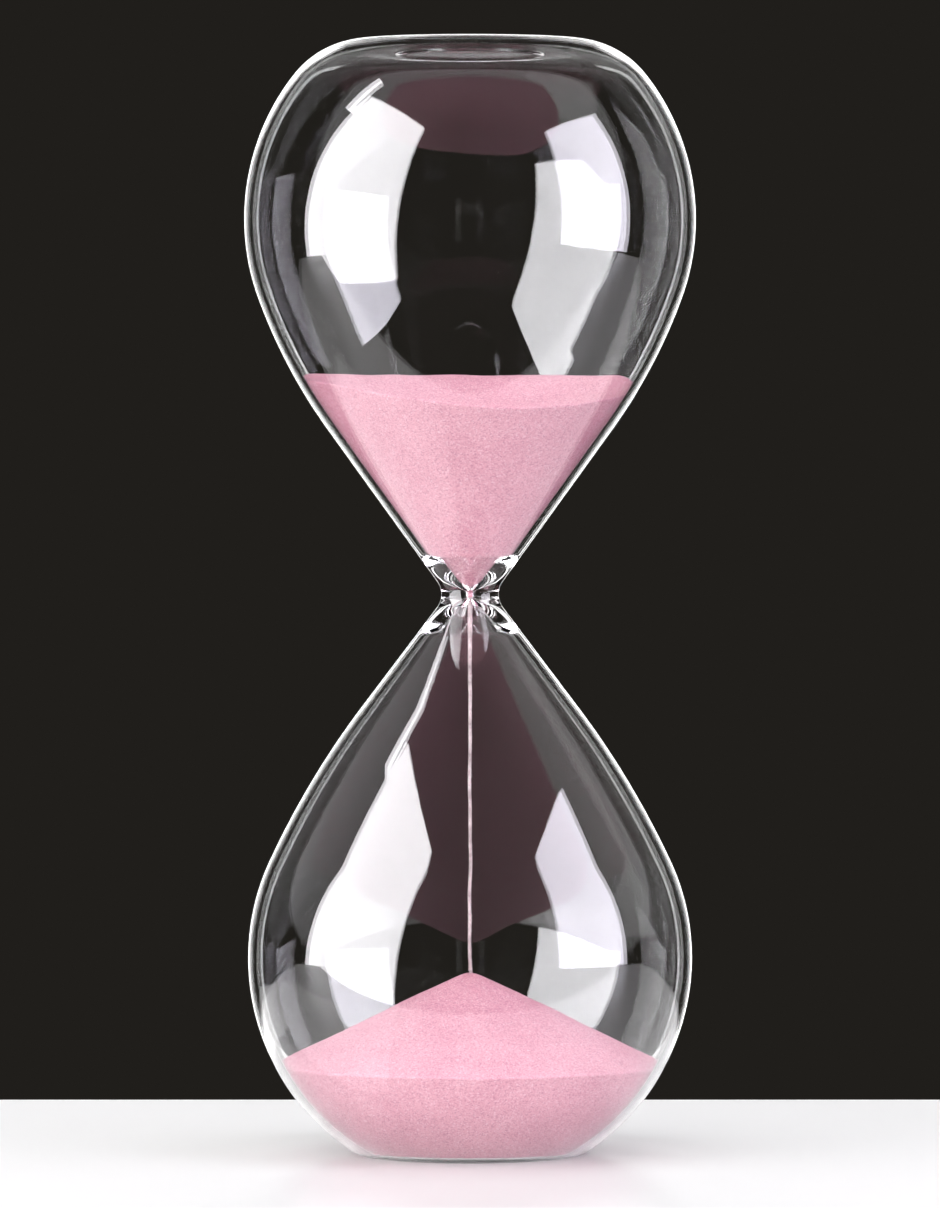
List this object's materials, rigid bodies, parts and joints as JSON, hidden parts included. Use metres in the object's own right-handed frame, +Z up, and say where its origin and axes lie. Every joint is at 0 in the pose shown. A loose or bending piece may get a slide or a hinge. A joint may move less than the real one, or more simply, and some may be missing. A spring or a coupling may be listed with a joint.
{
  "type": "hourglass",
  "caption": "Frameless blown-glass hourglass, two flat-ended bulbs welded at a thick waist, half run, with pink sand falling from the orifice onto a cone-shaped pile.",
  "frame": {"origin": "middle of the foot, on the surface that the hourglass stands on", "axes": "+Z up the hourglass's axis of revolution; +X and +Y are any two directions across it, with -Y towards the viewer"},
  "size_m": [0.0648, 0.0648, 0.16],
  "materials": {
    "clear_glass": "fire-polished, clear borosilicate",
    "clear_silicone": "clear cured silicone, satin",
    "pink_sand": "fine dry dyed sand, matte"
  },
  "bodies": {
    "glass": {"upper_bulb": "clear_glass", "lower_bulb": "clear_glass", "neck": "clear_glass", "fill_plug": "clear_silicone", "upper_sand": "pink_sand", "running_sand": "pink_sand", "lower_sand": "pink_sand"},
    "last_grains": {"throat_sand": "pink_sand"}
  },
  "joints": [
    {"name": "last_grains_fall", "type": "slide", "parent": "glass", "child": "last_grains", "axis": [0, 0, -1], "range_m": [0, 0.05365], "deforming": ["running_sand"]}
  ]
}
